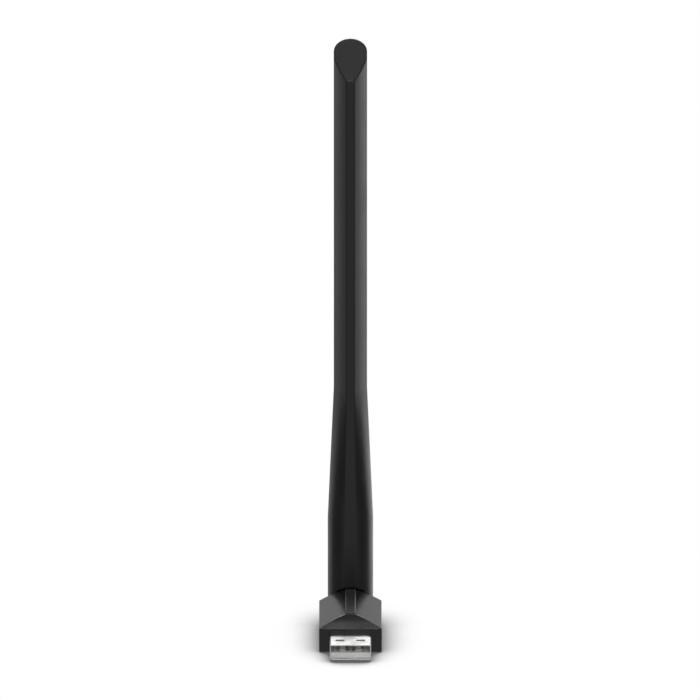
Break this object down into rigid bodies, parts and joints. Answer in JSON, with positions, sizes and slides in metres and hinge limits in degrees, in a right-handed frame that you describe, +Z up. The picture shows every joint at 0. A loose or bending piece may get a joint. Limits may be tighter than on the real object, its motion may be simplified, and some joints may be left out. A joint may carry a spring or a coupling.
{
  "type": "usb wifi adapter",
  "caption": "Short black stick with a ridged roof and a USB-A plug, and a tall slant-topped antenna on a tilting hinge behind it.",
  "frame": {"origin": "on the resting surface, below the middle of the adapter's footprint with the antenna upright", "axes": "+X across the stick, -Y out of the USB plug, +Z up along the upright antenna"},
  "size_m": [0.0184, 0.0578, 0.1737],
  "materials": {
    "housing_black": "satin-gloss moulded ABS",
    "antenna_black": "satin moulded ABS",
    "cover_black": "fine-textured moulded ABS",
    "plug_nickel": "bright nickel plating",
    "insulator_plastic": "smooth light nylon",
    "contact_plating": "bright plating over copper alloy",
    "board_fr4": "solder-masked glass epoxy",
    "strip_fr4": "bare glass epoxy",
    "tinned_steel": "tinned sheet",
    "chip_black": "moulded epoxy",
    "ferrite": "dark ferrite",
    "capacitor_tan": "ceramic body",
    "resistor_dark": "ceramic body",
    "led_cream": "phosphor resin",
    "clear_plastic": "frosted acrylic",
    "connector_brass": "gold-plated",
    "coax_jacket": "smooth fluoropolymer",
    "hinge_steel": "turned steel",
    "washer_nylon": "natural nylon",
    "copper": "bare copper",
    "solder": "bright solder"
  },
  "bodies": {
    "stick": {"upper_housing": "housing_black", "bottom_cover": "cover_black", "light_pipe": "clear_plastic", "plug_shell": "plug_nickel", "plug_insulator": "insulator_plastic", "plug_contact_1": "contact_plating", "plug_contact_2": "contact_plating", "plug_contact_3": "contact_plating", "plug_contact_4": "contact_plating", "main_board": "board_fr4", "shield_can": "tinned_steel", "wifi_chip": "chip_black", "regulator": "chip_black", "crystal": "tinned_steel", "inductor": "ferrite", "capacitors": "capacitor_tan", "resistors": "resistor_dark", "status_led": "led_cream", "coax_socket": "connector_brass", "coax_plug": "connector_brass", "coax_lead_stick": "coax_jacket", "hinge_tube": "hinge_steel", "friction_washer_left": "washer_nylon", "friction_washer_right": "washer_nylon"},
    "antenna": {"antenna_front_shell": "antenna_black", "antenna_rear_shell": "antenna_black", "antenna_strip": "strip_fr4", "sleeve_foil": "copper", "radiator_foil": "copper", "solder_joints": "solder", "coax_lead_antenna": "coax_jacket"}
  },
  "joints": [
    {"name": "antenna_tilt", "type": "hinge", "parent": "stick", "child": "antenna", "pos_m": [0, 0.0226, 0.00645], "axis": [-1, 0, 0], "range_deg": [0, 90]}
  ]
}
